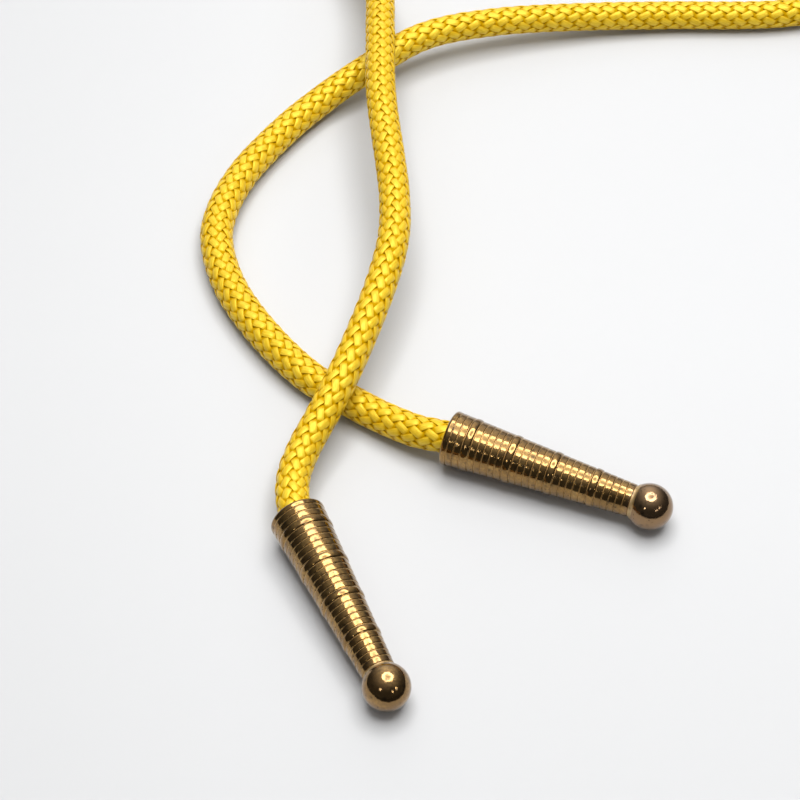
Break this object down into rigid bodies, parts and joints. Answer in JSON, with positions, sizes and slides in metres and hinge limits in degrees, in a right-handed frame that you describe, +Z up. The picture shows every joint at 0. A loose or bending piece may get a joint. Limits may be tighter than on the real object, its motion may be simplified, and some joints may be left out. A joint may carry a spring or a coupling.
{
  "type": "aiguillette",
  "caption": "Braided neck cord with a turned, ring-grooved brass tip on each end, lying crossed over itself with its loop laid out behind.",
  "frame": {"origin": "on the surface that the part lies on, under the middle of the two tips' box", "axes": "+Z up from the surface, -Y towards the side that the picture was taken from, +X to the right in the picture"},
  "size_m": [0.1295, 0.2607, 0.0136],
  "materials": {
    "braid": "yellow braid of shiny synthetic yarn, with a silky sheen",
    "brass": "polished brass with a warm brown tarnish, small pits and dark specks"
  },
  "bodies": {
    "root": {"cord": "braid", "tip_left": "brass", "tip_right": "brass"}
  },
  "joints": []
}
